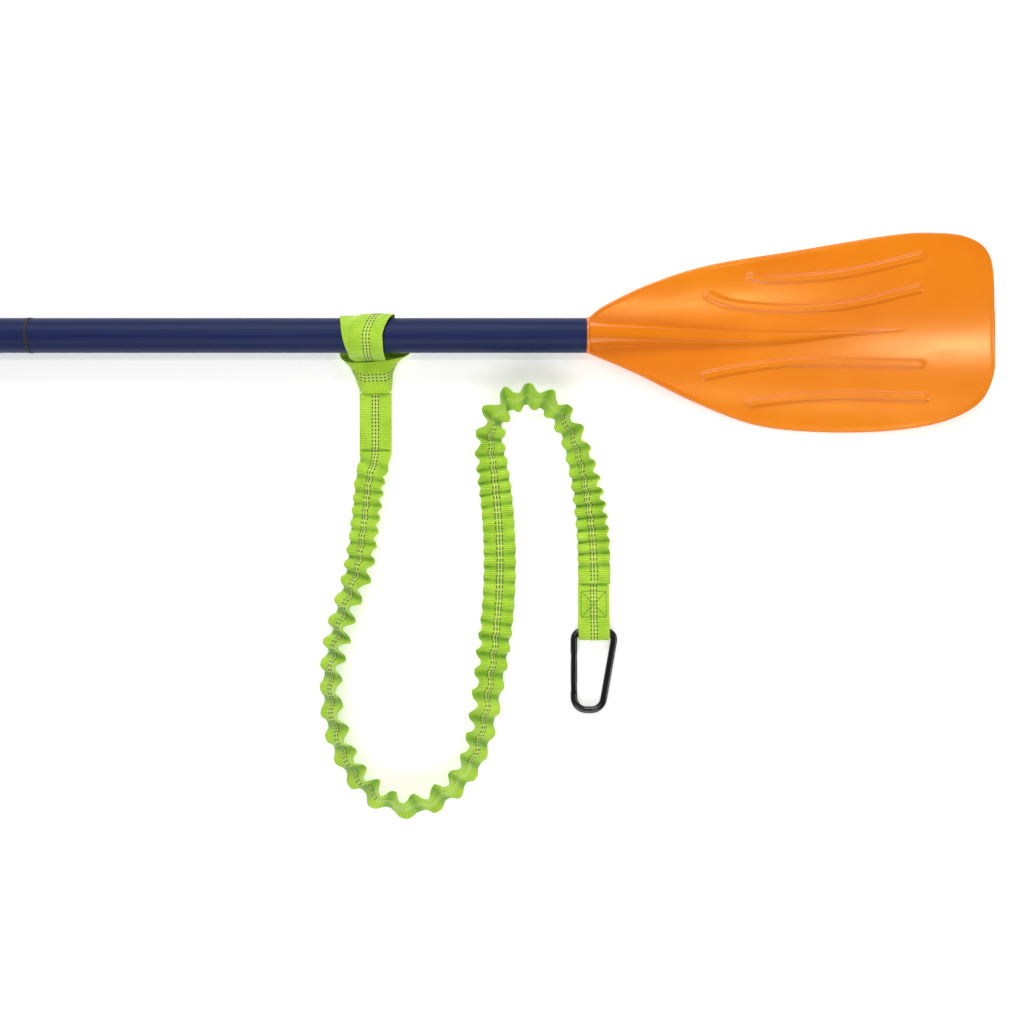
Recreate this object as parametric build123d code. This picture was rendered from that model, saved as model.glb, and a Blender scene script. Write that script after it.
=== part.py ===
from build123d import *
import math
import os

# Two-piece kayak paddle with an elastic leash, lying on a flat surface. Millimetres.
# X runs along the shaft from the centre joint to the right blade, Y across the blades,
# Z up. The origin is on the surface, under the centre joint.

os.makedirs("parts", exist_ok=True)

# ---------------------------------------------------------------- driving dimensions
SHAFT_Z = 22.0            # height of the shaft's axis above the surface
HALF_SHAFT = 480.0        # centre joint to blade collar

SLEEVE_R = 15.0           # outside of the plastic skin
SLEEVE_WALL = 0.8
TUBE_WALL = 1.5
TUBE_GAP = 0.05           # skin to tube, and ring to tube ends

FERRULE_FIT = 0.25        # radial clearance of the ferrule in the left tube
FERRULE_SEAT = 0.05       # the same under the ring and in the right tube, where it is fixed
FERRULE_WALL = 1.3
FERRULE_IN_RIGHT = 50.0   # length held in the right tube
FERRULE_IN_LEFT = 62.0    # length that slides into the left tube
RING_WIDTH = 3.0
RING_PROUD = 0.35         # how far the ring stands above the skin

BUTTON_R = 3.4
BUTTON_X = -40.0
BUTTON_PROUD = 0.15       # above the skin: nearly flush
BUTTON_FLANGE_R = 5.2
BUTTON_FLANGE_T = 0.8
BUTTON_FIT = 0.2          # button to its holes
FEATHER_STEP = 60.0       # degrees between the feather holes in the left tube
SPRING_STRIP = 0.6
SPRING_WIDTH = 6.0
SPRING_LENGTH = 30.0
SPRING_REST = 0.1         # flange and lower leg to the ferrule's wall
SPRING_GAP = 0.05         # upper leg to the flange

RIVET_R = 2.0
RIVET_HEAD_R = 3.0
RIVET_HEAD_T = 0.6        # thinner than the skin, so that the head is flush
RIVET_HEAD_EDGE = 0.25    # rounding of the head's outer edge
RIVET_DEPTH = 0.15        # head's face below the skin
RIVET_FIT = 0.1
RIVET_HEAD_ROOM = 0.3     # round the head, in its hole in the skin
RIVET_TIP_DOWN = 6.0      # shank's end below the shaft's axis
FERRULE_RIVET_X = 32.0
BLADE_RIVET_BACK = 26.0   # rivet to blade collar

PLUG_LENGTH = 50.0
PLUG_FIT = 0.5
PLUG_START = 90.0         # from the centre joint

SPIGOT_LENGTH = 52.0
SPIGOT_FIT = 0.45
COLLAR_PROUD = 1.0        # blade collar above the skin
COLLAR_LENGTH = 4.5

BLADE_LENGTH = 355.0      # collar face to tip
BLADE_NOMINAL = 355.0     # length that the outline and the ribs are drawn for
BLADE_T = 3.2
NECK_HALF = 15.7          # half width of the blade's plan at the collar
SPOON_R = 1100.0          # lengthwise curve of the blade
BELLY_FROM_NECK = 180.0   # where the blade is lowest
RIB_HEIGHT = 1.8
RIB_WIDTH = 7.5
RIB_ROOT = 0.4            # rib's root below the face
SPINE_NECK_IN = 2.6       # raised spine on the face, from inside the collar to a point
SPINE_LENGTH = 278.0
SPINE_MID_X = 140.0       # from the collar
SPINE_MID_R = 7.2
SPINE_MID_Y = 0.4
SPINE_MID_LIFT = 0.6      # section's centre above the blade's middle surface
SPINE_END_R = 1.2
SPINE_END_Y = 6.3
SPINE_END_LIFT = 1.2
HEEL_LENGTH = 80.0        # bulge on the blade's back, behind the spine

WEB_WIDTH = 28.0
WEB_T = 1.5
WEB_GAP = 0.3             # webbing to what it lies on
KNEE_EASE = 0.8           # extra width of the hitch where it turns flat

LOOP_X = 289.5            # middle of the two legs on the shaft
LOOP_WIDTH = 41.0         # the legs side by side, half overlapping
LOOP_FRONT_ANGLE = 20.0   # where the legs leave the shaft in front, above its axis
LOOP_BACK_ANGLE = 62.0    # where they end behind it, below its axis
NECK_MID_X = 293.0        # middle of the legs under the collar
NECK_Z = 5.0              # underside of the legs there
COLLAR_TOP_Y = -21.5
COLLAR_BOTTOM_Y = -48.0
COLLAR_SLACK = 7.0        # room beside the legs at the collar's top
TAIL_END_Y = -98.0
TAIL_X = 296.4

SLEEVE_W = 25.0           # gathered webbing tube, outside
SLEEVE_H = 12.6
SLEEVE_T = 1.6
SLEEVE_MID_Z = 6.7
SLEEVE_ROUND = 0.45       # corner radius over height, outside
SLEEVE_ROUND_IN = 0.3
CORE_R = 3.5

TAB_X = 488.0
TAB_TOP_Y = -216.0
TAB_FOLD_Y = -265.0       # outside of the fold round the snap hook
TAB_LOOP_ROOM = 0.85      # inside of the fold round the wire
TAB_LOOP_LIFT = 0.55      # fold's centre above the wire's
TAB_BAR_IN = 0.5          # second end of the fold's inside, from the wire's centre
TAB_ROOT = 2.2            # where the fold closes, in fold radii from there
TAB_SLIT = 0.2            # half height of the fold's closed end
BOX_STITCH = 22.5
BOX_STITCH_LOW_Y = -244.5
BARTACK_IN = 2.0          # bartack to the end of the gathered sleeve
THREAD_W = 0.8
THREAD_H = 0.4

HOOK_WIRE_R = 3.15        # the hook's wire
HOOK_Z = 5.4
HOOK_TOP_Y = -257.2       # wire centre
HOOK_BOTTOM_Y = -326.0
HOOK_LEFT_X = 470.2
HOOK_TOP_RIGHT_X = 506.6
HOOK_BOTTOM_RIGHT_X = 494.6
HOOK_TOP_CORNER_R = 7.0
HOOK_BOTTOM_CORNER_R = 11.0
GATE_R = 3.0
GATE_HINGE_Y = -306.5
GATE_TOP_Y = -276.0       # end of the nose
GATE_GAP = 0.3
GATE_SHOULDER = 4.3       # pin to the shoulders of its two pieces
GATE_SLOT = 2.8
TONGUE_T = 2.2
TONGUE_HALF = 2.7
NOSE_ROOM = 1.5           # slot beyond the nose
NOSE_LENGTH = 6.0
LATCH_PIN_DOWN = 3.6      # from the nose's shoulder
PIN_R = 0.8
PIN_FIT = 0.08
PIN_LENGTH = 5.4
SPRING_BORE = 14.0
SPRING_BORE_R = 1.2
BORE_START = 3.8          # from the hinge pin
SPRING_FIT = 0.1
SPRING_WALL = 0.4

CUT = 1.0                 # overshoot of a cutting shape
ROOM = 120.0              # more than half of a blade, across
TALL = 60.0               # more than the height of the whole paddle

# ---------------------------------------------------------------- values worked out
TUBE_R = SLEEVE_R - SLEEVE_WALL - TUBE_GAP
TUBE_IN_R = TUBE_R - TUBE_WALL
FERRULE_R = TUBE_IN_R - FERRULE_FIT
FERRULE_IN_R = FERRULE_R - FERRULE_WALL
NECK_X = HALF_SHAFT
BELLY_X = NECK_X + BELLY_FROM_NECK
TIP_X = NECK_X + BLADE_LENGTH
TUBE_START = RING_WIDTH / 2 + TUBE_GAP
RIVET_X = NECK_X - BLADE_RIVET_BACK
BUTTON_TOP_Z = SHAFT_Z + SLEEVE_R + BUTTON_PROUD
COLLAR_R = SLEEVE_R + COLLAR_PROUD
TAB_LOOP_R = HOOK_WIRE_R + TAB_LOOP_ROOM
TAB_LOOP_Z = HOOK_Z + TAB_LOOP_LIFT
BLADE_SCALE = BLADE_LENGTH / BLADE_NOMINAL
BLADE_START = NECK_X + COLLAR_LENGTH / 2
BLADE_CUT_X = TIP_X + 20 * CUT
HOLE_R = BUTTON_R + BUTTON_FIT


def save(shape, name):
    """Write one sub-part under its node name."""
    export_step(shape, f"parts/{name}.step")


def along_x(radius, start, end, z=SHAFT_Z):
    """Solid cylinder on the shaft's axis between two X positions."""
    place = Plane(origin=(start, 0, z), x_dir=(0, 1, 0), z_dir=(1, 0, 0))
    return extrude(place * Circle(radius), end - start)


def pipe_x(outer, inner, start, end):
    return along_x(outer, start, end) - along_x(inner, start - CUT, end + CUT)


def drill_z(radius, x, z0, z1, y=0.0):
    """Upright cylinder used as a drill or a pin."""
    return Pos(x, y, z0) * extrude(Circle(radius), z1 - z0)


def circle_across(x, y, z, radius):
    """Round section that faces along X."""
    return Plane(origin=(x, y, z), x_dir=(0, 1, 0), z_dir=(1, 0, 0)) * Circle(radius)


def mirrored(shape):
    return mirror(shape, about=Plane.YZ)


# ---------------------------------------------------------------- blade
def spoon_z(x, lift=0.0):
    """Height of the blade's middle surface, raised by lift, at a place along the paddle."""
    r = SPOON_R - lift
    return BLADE_T / 2 + SPOON_R - math.sqrt(r * r - (x - BELLY_X) ** 2)


def spoon_slab(low, high, start, end):
    """Curved plate between two offsets of the blade's middle surface."""
    middle = (start + end) / 2
    lower = ThreePointArc(
        (start, spoon_z(start, low)), (middle, spoon_z(middle, low)), (end, spoon_z(end, low))
    )
    upper = ThreePointArc(
        (start, spoon_z(start, high)), (middle, spoon_z(middle, high)), (end, spoon_z(end, high))
    )
    sides = Line(lower @ 0, upper @ 0) + Line(lower @ 1, upper @ 1)
    section = make_face(Curve() + [lower, upper] + sides.edges())
    return extrude(Plane.XZ * section, ROOM, both=True)


def blade_outline():
    """Plan of the blade: the upper edge is the longer one."""
    upper = [(16.6, 26.6), (55.5, 46.0), (108.0, 63.6), (186.5, 77.4), (264.0, 89.8)]
    crown = [(301.5, 91.8), (333.5, 86.9), (351.6, 68.6)]
    tip = [(354.6, 22.0), (353.6, -35.0)]
    lower_corner = [(341.0, -59.0), (310.0, -74.5), (262.0, -81.9)]
    lower = [(199.5, -82.2), (147.3, -75.7), (94.9, -56.4), (42.5, -31.8)]
    drawn = upper + crown + tip + lower_corner + lower
    points = [(NECK_X + BLADE_SCALE * x, y) for x, y in drawn]
    edge = Spline([(BLADE_START, NECK_HALF)] + points + [(BLADE_START, -NECK_HALF)])
    back = Line(edge @ 1, edge @ 0)
    return make_face(Curve() + [edge, back])


def rib_plan(points):
    """Plan of one rib: a curved bar with round ends."""
    line = Spline([(NECK_X + BLADE_SCALE * x, y) for x, y in points])
    bar = trace(line, RIB_WIDTH)
    ends = [Pos(*tuple(line @ t)) * Circle(RIB_WIDTH / 2) for t in (0, 1)]
    return bar + ends


RIBS = [
    [(146.0, 54.1), (160.0, 51.4), (199.0, 52.9), (238.0, 58.0), (293.0, 70.5)],
    [(108.0, 36.4), (126.0, 29.4), (160.0, 26.0), (199.0, 25.8), (238.0, 29.9), (291.0, 42.1)],
    [(105.0, -33.7), (126.0, -29.2), (160.0, -23.8), (199.0, -21.2), (292.0, -23.9)],
    [(144.5, -57.6), (173.0, -53.8), (199.0, -51.6), (238.0, -50.7), (296.0, -52.9)],
]


def make_blade():
    """Spooned plate with ribs and spine, collar, and the spigot inside the shaft."""
    half = BLADE_T / 2
    prism = extrude(blade_outline(), TALL)
    blade = prism & spoon_slab(-half, half, BLADE_START, BLADE_CUT_X)
    collar = along_x(COLLAR_R, NECK_X, NECK_X + COLLAR_LENGTH)
    spigot = along_x(TUBE_IN_R - SPIGOT_FIT, NECK_X - SPIGOT_LENGTH, NECK_X + COLLAR_LENGTH)
    mid_x = NECK_X + SPINE_MID_X * BLADE_SCALE
    end_x = NECK_X + SPINE_LENGTH * BLADE_SCALE
    heel_x = NECK_X + HEEL_LENGTH * BLADE_SCALE
    root_x = NECK_X + COLLAR_LENGTH - CUT / 2
    neck = circle_across(root_x, 0, SHAFT_Z, SLEEVE_R - SPINE_NECK_IN)
    middle = circle_across(mid_x, SPINE_MID_Y, spoon_z(mid_x) + SPINE_MID_LIFT, SPINE_MID_R)
    end = circle_across(end_x, SPINE_END_Y, spoon_z(end_x) + SPINE_END_LIFT, SPINE_END_R)
    spine = loft([neck, middle, end]) & spoon_slab(-half, TALL, BLADE_START, TIP_X)
    heel = loft([neck, circle_across(heel_x, 0, spoon_z(heel_x), SPINE_END_R)])
    blade += [collar, spigot, heel, spine]
    for points in RIBS:
        plan = extrude(rib_plan(points), TALL)
        blade += plan & spoon_slab(half - RIB_ROOT, half + RIB_HEIGHT, BLADE_START, BLADE_CUT_X)
    return blade - drill_z(RIVET_R + RIVET_FIT, RIVET_X, 0, SHAFT_Z)


blade = make_blade()
save(blade, "blade_right")
save(mirrored(blade), "blade_left")


# ---------------------------------------------------------------- shaft
def make_rivet(x):
    """Flush rivet pushed in from below: shank, and a thin flat head let into the skin."""
    face = SHAFT_Z - SLEEVE_R + RIVET_DEPTH
    shank = drill_z(RIVET_R, x, face, SHAFT_Z - RIVET_TIP_DOWN)
    head = drill_z(RIVET_HEAD_R, x, face, face + RIVET_HEAD_T)
    head = fillet(head.edges().group_by(Axis.Z)[0], RIVET_HEAD_EDGE)
    return shank + head


def rivet_well(x):
    """Hole in the skin for a rivet's head."""
    return drill_z(RIVET_HEAD_R + RIVET_HEAD_ROOM, x, 0, SHAFT_Z)


tube = pipe_x(TUBE_R, TUBE_IN_R, TUBE_START, NECK_X - TUBE_GAP)
skin = pipe_x(SLEEVE_R, TUBE_R + TUBE_GAP, TUBE_START, NECK_X - TUBE_GAP)
blade_hole = drill_z(RIVET_R + RIVET_FIT, RIVET_X, 0, SHAFT_Z)
ferrule_hole = drill_z(RIVET_R + RIVET_FIT, FERRULE_RIVET_X, 0, SHAFT_Z)
tube_right = tube - blade_hole - ferrule_hole
skin_right = skin - rivet_well(RIVET_X) - rivet_well(FERRULE_RIVET_X)
save(tube_right, "shaft_tube_right")
save(skin_right, "shaft_sleeve_right")

# The left half carries the button holes: one locked in use, and one each way for feathering.
tube_left = mirrored(tube - blade_hole)
skin_left = mirrored(skin - rivet_well(RIVET_X))
for turn in (-FEATHER_STEP, 0.0, FEATHER_STEP):
    drill = drill_z(HOLE_R, BUTTON_X, SHAFT_Z + HOLE_R, SHAFT_Z + SLEEVE_R + HOLE_R)
    drill = drill.rotate(Axis((0, 0, SHAFT_Z), (1, 0, 0)), turn)
    tube_left -= drill
    skin_left -= drill
save(tube_left, "shaft_tube_left")
save(skin_left, "shaft_sleeve_left")

rivet = make_rivet(RIVET_X)
save(rivet, "blade_rivet_right")
save(mirrored(rivet), "blade_rivet_left")

plug = along_x(TUBE_IN_R - PLUG_FIT, PLUG_START, PLUG_START + PLUG_LENGTH)
save(plug, "float_plug_right")
save(mirrored(plug), "float_plug_left")

# ---------------------------------------------------------------- centre joint
seat_start = -TUBE_START - TUBE_GAP
ferrule = along_x(FERRULE_R, -FERRULE_IN_LEFT, seat_start)
ferrule += along_x(TUBE_IN_R - FERRULE_SEAT, seat_start, FERRULE_IN_RIGHT)
ferrule -= along_x(FERRULE_IN_R, -FERRULE_IN_LEFT - CUT, FERRULE_IN_RIGHT + CUT)
ferrule -= ferrule_hole
ferrule -= drill_z(HOLE_R, BUTTON_X, SHAFT_Z + CUT, SHAFT_Z + SLEEVE_R)
save(ferrule, "ferrule_tube")
save(make_rivet(FERRULE_RIVET_X), "ferrule_rivet")

ring = pipe_x(SLEEVE_R + RING_PROUD, TUBE_IN_R, -RING_WIDTH / 2, RING_WIDTH / 2)
save(ring, "joint_ring")

flange_top = SHAFT_Z + math.sqrt(FERRULE_IN_R**2 - BUTTON_FLANGE_R**2) - SPRING_REST
button = drill_z(BUTTON_R, BUTTON_X, flange_top - BUTTON_FLANGE_T, BUTTON_TOP_Z)
button = fillet(button.edges().group_by(Axis.Z)[-1], BUTTON_R * 0.6)
button += drill_z(BUTTON_FLANGE_R, BUTTON_X, flange_top - BUTTON_FLANGE_T, flange_top)
save(button, "snap_button")


def make_snap_spring():
    """V leaf: one leg under the button's flange, the other on the ferrule's wall."""
    t = SPRING_STRIP
    high = flange_top - BUTTON_FLANGE_T - SPRING_GAP
    low = SHAFT_Z - math.sqrt(FERRULE_IN_R**2 - (SPRING_WIDTH / 2) ** 2) + SPRING_REST
    front = BUTTON_X - BUTTON_FLANGE_R
    knee = BUTTON_X + BUTTON_FLANGE_R
    bend = (front + SPRING_LENGTH, (high + low) / 2)
    bend_in = (front + SPRING_LENGTH - 3 * t, (high + low) / 2)
    outside = Polyline((front, high), (knee, high), bend, (knee, low), (front, low))
    inside = Polyline(
        (front, high - t), (knee - t / 2, high - t), bend_in, (knee - t / 2, low + t),
        (front, low + t),
    )
    ends = [Line(outside @ 0, inside @ 0), Line(outside @ 1, inside @ 1)]
    section = Plane.XZ * make_face(Curve() + [outside, inside] + ends)
    return extrude(section, SPRING_WIDTH / 2, both=True)


save(make_snap_spring(), "snap_spring")


# ---------------------------------------------------------------- leash: hitch on the shaft
def side_plane(x):
    """Plane across the shaft whose own X is the row's Y and whose own Y is Z."""
    return Plane(origin=(x, 0, 0), x_dir=(0, 1, 0), z_dir=(1, 0, 0))


def slab_from_side(section, x, width):
    return extrude(side_plane(x) * section, width / 2, both=True)


def make_shaft_loop():
    """Doubled webbing over the shaft and round behind it, and the flat neck below it."""
    inner = SLEEVE_R + WEB_GAP
    outer = inner + 2 * WEB_T
    front = math.radians(180 - LOOP_FRONT_ANGLE)
    back = math.radians(180 + LOOP_BACK_ANGLE)
    far = 3 * outer
    mouth = Polygon(
        (0, SHAFT_Z),
        (far * math.cos(front), SHAFT_Z + far * math.sin(front)),
        (-far, SHAFT_Z),
        (far * math.cos(back), SHAFT_Z + far * math.sin(back)),
        align=None,
    )
    ring_face = Pos(0, SHAFT_Z) * (Circle(outer) - Circle(inner)) - mouth
    over = (outer * math.cos(front), SHAFT_Z + outer * math.sin(front))
    under = (inner * math.cos(front), SHAFT_Z + inner * math.sin(front))
    knee_y = COLLAR_TOP_Y + WEB_GAP
    neck = Polygon(
        over, under, (-inner - 2 * WEB_GAP, SHAFT_Z - WEB_T),
        (-inner - KNEE_EASE, NECK_Z + 4 * WEB_T), (knee_y + WEB_T, NECK_Z),
        (COLLAR_BOTTOM_Y, NECK_Z), (COLLAR_BOTTOM_Y, NECK_Z + 2 * WEB_T),
        (knee_y, NECK_Z + 2 * WEB_T), (-outer - KNEE_EASE, NECK_Z + 5 * WEB_T),
        align=None,
    )
    legs = slab_from_side(ring_face, LOOP_X, LOOP_WIDTH)
    return legs + slab_from_side(neck, NECK_MID_X, WEB_WIDTH)


save(make_shaft_loop(), "shaft_loop")


def make_loop_collar():
    """The bight: a flat tapered tube of webbing that holds the two legs together."""
    top_half = WEB_WIDTH / 2 + COLLAR_SLACK
    low_half = WEB_WIDTH / 2 + WEB_GAP
    left_top, left_low = NECK_MID_X - top_half, NECK_MID_X - low_half
    right_top, right_low = NECK_MID_X + top_half, TAIL_X + low_half
    tall = 2 * WEB_T + 2 * WEB_GAP
    inner = Polygon(
        (left_top, COLLAR_TOP_Y + CUT), (right_top, COLLAR_TOP_Y + CUT),
        (right_low, COLLAR_BOTTOM_Y - CUT), (left_low, COLLAR_BOTTOM_Y - CUT),
        align=None,
    )
    outer = Polygon(
        (left_top - WEB_T, COLLAR_TOP_Y), (right_top + WEB_T, COLLAR_TOP_Y),
        (right_low + WEB_T, COLLAR_BOTTOM_Y), (left_low - WEB_T, COLLAR_BOTTOM_Y),
        align=None,
    )
    up = (0, 0, 1)
    body = Pos(0, 0, NECK_Z - WEB_GAP - WEB_T) * extrude(outer, tall + 2 * WEB_T, dir=up)
    return body - Pos(0, 0, NECK_Z - WEB_GAP) * extrude(inner, tall, dir=up)


save(make_loop_collar(), "loop_collar")

tail_start = COLLAR_BOTTOM_Y - WEB_GAP
tail_end = TAIL_END_Y + 2 * WEB_GAP
tail = Box(WEB_WIDTH, tail_start - tail_end, 2 * WEB_T)
save(Pos(TAIL_X, (tail_start + tail_end) / 2, SLEEVE_MID_Z) * tail, "leash_tail")

# ---------------------------------------------------------------- leash: gathered stretch
# Route of the gathered sleeve, from the tail to the end tab.
ROUTE = [
    (TAIL_X, TAIL_END_Y), (296.1, -108), (291.5, -122), (289.0, -150), (285.5, -180), (281.5, -208),
    (272.0, -234), (264.5, -262), (259.0, -292), (259.5, -326), (268.0, -360),
    (287.0, -391), (318.0, -411), (352.0, -403), (378.0, -377), (389.5, -342),
    (395.0, -306), (400.5, -268), (404.5, -230), (405.5, -190), (403.5, -152),
    (399.5, -118), (395.0, -88), (402.0, -62), (425.0, -49), (450.0, -55),
    (467.0, -78), (475.5, -104), (482.0, -134), (486.0, -164), (487.8, -190),
    (TAB_X, TAB_TOP_Y),
]
ARC_SHARE = 0.45          # share of the shorter run that each corner's arc takes


def corner_radii(points):
    """Arc radius for each corner: the largest that leaves a little of both straight runs."""
    radii = []
    for before, here, after in zip(points, points[1:], points[2:]):
        arriving = Vector(*here) - Vector(*before)
        leaving = Vector(*after) - Vector(*here)
        turn = math.radians(arriving.get_angle(leaving))
        run = min(arriving.length, leaving.length)
        radii.append(ARC_SHARE * run / math.tan(turn / 2))
    return radii


radii = corner_radii(ROUTE)
print("leash corner radii", [round(r) for r in radii])
route_path = Pos(0, 0, SLEEVE_MID_Z) * FilletPolyline(*ROUTE, radius=radii)
start_plane = Plane(
    origin=route_path @ 0, x_dir=Vector(0, 0, 1).cross(route_path % 0), z_dir=route_path % 0
)
sleeve_outside = RectangleRounded(SLEEVE_W, SLEEVE_H, SLEEVE_H * SLEEVE_ROUND)
sleeve_inside = RectangleRounded(
    SLEEVE_W - 2 * SLEEVE_T, SLEEVE_H - 2 * SLEEVE_T, SLEEVE_H * SLEEVE_ROUND_IN
)
sleeve = sweep(start_plane * sleeve_outside, path=route_path)
sleeve -= sweep(start_plane * sleeve_inside, path=route_path)
core = sweep(start_plane * Circle(CORE_R), path=route_path)
core_run = core.volume / (math.pi * CORE_R**2)
print("leash length", round(route_path.length, 1), "core volume over section", round(core_run, 1))
save(sleeve, "elastic_sleeve")
save(core, "bungee_core")


# ---------------------------------------------------------------- leash: end tab
def make_end_tab():
    """Doubled webbing with a loop at its end, round the snap hook's bar."""
    fold = (TAB_FOLD_Y + TAB_LOOP_R + WEB_T, TAB_LOOP_Z)
    bar_y = HOOK_TOP_Y + TAB_BAR_IN
    root_y = bar_y + TAB_ROOT * TAB_LOOP_R
    flat_low, flat_high = SLEEVE_MID_Z - WEB_T, SLEEVE_MID_Z + WEB_T
    slit_low, slit_high = SLEEVE_MID_Z - TAB_SLIT, SLEEVE_MID_Z + TAB_SLIT
    outside = make_hull(
        (Pos(*fold) * Circle(TAB_LOOP_R + WEB_T)).edges()
        + (Pos(bar_y, TAB_LOOP_Z) * Circle(TAB_LOOP_R + WEB_T)).edges()
        + Line((root_y + 2 * CUT, flat_low), (root_y + 2 * CUT, flat_high)).edges()
    )
    inside = make_hull(
        (Pos(*fold) * Circle(TAB_LOOP_R)).edges()
        + (Pos(bar_y, TAB_LOOP_Z) * Circle(TAB_LOOP_R)).edges()
        + Line((root_y - 2 * CUT, slit_low), (root_y - 2 * CUT, slit_high)).edges()
    )
    flat = Polygon(
        (root_y, flat_low), (TAB_TOP_Y - WEB_GAP, flat_low),
        (TAB_TOP_Y - WEB_GAP, flat_high), (root_y, flat_high),
        align=None,
    )
    return slab_from_side(outside + flat - inside, TAB_X, WEB_WIDTH)


save(make_end_tab(), "end_tab")


def thread_bar(start, end, z):
    """Straight line of stitching lying on webbing."""
    middle = ((start[0] + end[0]) / 2, (start[1] + end[1]) / 2)
    angle = math.degrees(math.atan2(end[1] - start[1], end[0] - start[0]))
    length = math.dist(start, end) + THREAD_W
    return Pos(*middle, z + THREAD_H / 2) * Rot(0, 0, angle) * Box(length, THREAD_W, THREAD_H)


thread_z = SLEEVE_MID_Z + WEB_T
left, right = TAB_X - BOX_STITCH / 2, TAB_X + BOX_STITCH / 2
low, high = BOX_STITCH_LOW_Y, BOX_STITCH_LOW_Y + BOX_STITCH
corners = [(left, low), (right, low), (right, high), (left, high)]
seams = list(zip(corners, corners[1:] + corners[:1]))
seams += [(corners[0], corners[2]), (corners[1], corners[3])]
box_stitch = Part() + [thread_bar(a, b, thread_z) for a, b in seams]
save(box_stitch, "tab_box_stitch")

bar_half = WEB_WIDTH / 2 - WEB_T
bartacks = Part() + [
    thread_bar((x - bar_half, y), (x + bar_half, y), thread_z)
    for x, y in ((TAIL_X, TAIL_END_Y + BARTACK_IN), (TAB_X, TAB_TOP_Y - BARTACK_IN))
]
save(bartacks, "sleeve_bartacks")


# ---------------------------------------------------------------- snap hook
def hook_box(x0, x1, y0, y1, thickness):
    """Flat block in the hook's plane, centred on the wire's height."""
    return Pos((x0 + x1) / 2, (y0 + y1) / 2, HOOK_Z) * Box(x1 - x0, y1 - y0, thickness)


def hook_post(radius, x, y, height):
    """Round upright centred on the wire's height."""
    return Pos(x, y, HOOK_Z) * Cylinder(radius, height)


def make_hook_body():
    """Bent bar with a flat tongue at each end of its gap."""
    x = HOOK_LEFT_X
    hinge_shoulder = GATE_HINGE_Y - GATE_SHOULDER
    path = FilletPolyline(
        (x, GATE_TOP_Y), (x, HOOK_TOP_Y), (HOOK_TOP_RIGHT_X, HOOK_TOP_Y),
        (HOOK_BOTTOM_RIGHT_X, HOOK_BOTTOM_Y), (x, HOOK_BOTTOM_Y), (x, hinge_shoulder),
        radius=[HOOK_TOP_CORNER_R] * 2 + [HOOK_BOTTOM_CORNER_R] * 2,
    )
    path = Pos(0, 0, HOOK_Z) * path
    start = Plane(origin=path @ 0, z_dir=path % 0)
    body = sweep(start * Circle(HOOK_WIRE_R), path=path)
    x0, x1 = x - TONGUE_HALF, x + TONGUE_HALF
    nose = hook_box(x0, x1, GATE_TOP_Y - NOSE_LENGTH, GATE_TOP_Y + CUT, TONGUE_T)
    pin_y = GATE_TOP_Y - LATCH_PIN_DOWN
    half = PIN_R + GATE_GAP
    notch = hook_box(x - PIN_R, x1 + TONGUE_HALF, pin_y - half, pin_y + half, 2 * TONGUE_T)
    tongue = hook_box(x0, x1, hinge_shoulder - CUT, GATE_HINGE_Y, TONGUE_T)
    tongue += hook_post(TONGUE_HALF, x, GATE_HINGE_Y, TONGUE_T)
    body += [nose - notch, tongue]
    return body - hook_post(PIN_R + PIN_FIT, x, GATE_HINGE_Y, 4 * HOOK_WIRE_R)


def along_gate(radius, start, end):
    """Round bar along the gate between two Y positions."""
    return Pos(HOOK_LEFT_X, (start + end) / 2, HOOK_Z) * Rot(90, 0, 0) * Cylinder(radius, end - start)


def make_gate():
    """Round bar, slotted at both ends, with a bore for its spring."""
    x = HOOK_LEFT_X
    wide = 2 * GATE_R
    top = GATE_TOP_Y - GATE_GAP
    low = GATE_HINGE_Y - GATE_R
    bar = along_gate(GATE_R, low, top)
    keep = hook_box(x - GATE_R, x + GATE_R, GATE_HINGE_Y, top + CUT, 2 * wide)
    keep += hook_post(GATE_R, x, GATE_HINGE_Y, 2 * wide)
    slot_top = GATE_TOP_Y - NOSE_LENGTH - NOSE_ROOM
    slots = hook_box(x - wide, x + wide, slot_top, top + CUT, GATE_SLOT)
    slots += hook_box(x - wide, x + wide, low - CUT, GATE_HINGE_Y + GATE_SHOULDER, GATE_SLOT)
    bore_start = GATE_HINGE_Y + BORE_START
    bore = along_gate(SPRING_BORE_R, bore_start, bore_start + SPRING_BORE)
    pins = hook_post(PIN_R + PIN_FIT, x, GATE_HINGE_Y, 2 * wide)
    pins += hook_post(PIN_R + PIN_FIT, x + PIN_R / 2, GATE_TOP_Y - LATCH_PIN_DOWN, 2 * wide)
    return (bar & keep) - slots - bore - pins


def make_gate_spring():
    """Closed spring and pusher as one sleeve in the gate's bore."""
    low = GATE_HINGE_Y + TONGUE_HALF + SPRING_FIT
    high = GATE_HINGE_Y + BORE_START + SPRING_BORE - SPRING_FIT
    radius = SPRING_BORE_R - SPRING_FIT
    return along_gate(radius, low, high) - along_gate(radius - SPRING_WALL, low - CUT, high + CUT)


save(make_hook_body(), "carabiner_body")
save(make_gate(), "carabiner_gate")
save(make_gate_spring(), "gate_spring")
save(hook_post(PIN_R, HOOK_LEFT_X, GATE_HINGE_Y, PIN_LENGTH), "gate_pin")
latch_y = GATE_TOP_Y - LATCH_PIN_DOWN
save(hook_post(PIN_R, HOOK_LEFT_X + PIN_R / 2, latch_y, PIN_LENGTH), "latch_pin")
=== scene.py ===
import math

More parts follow.
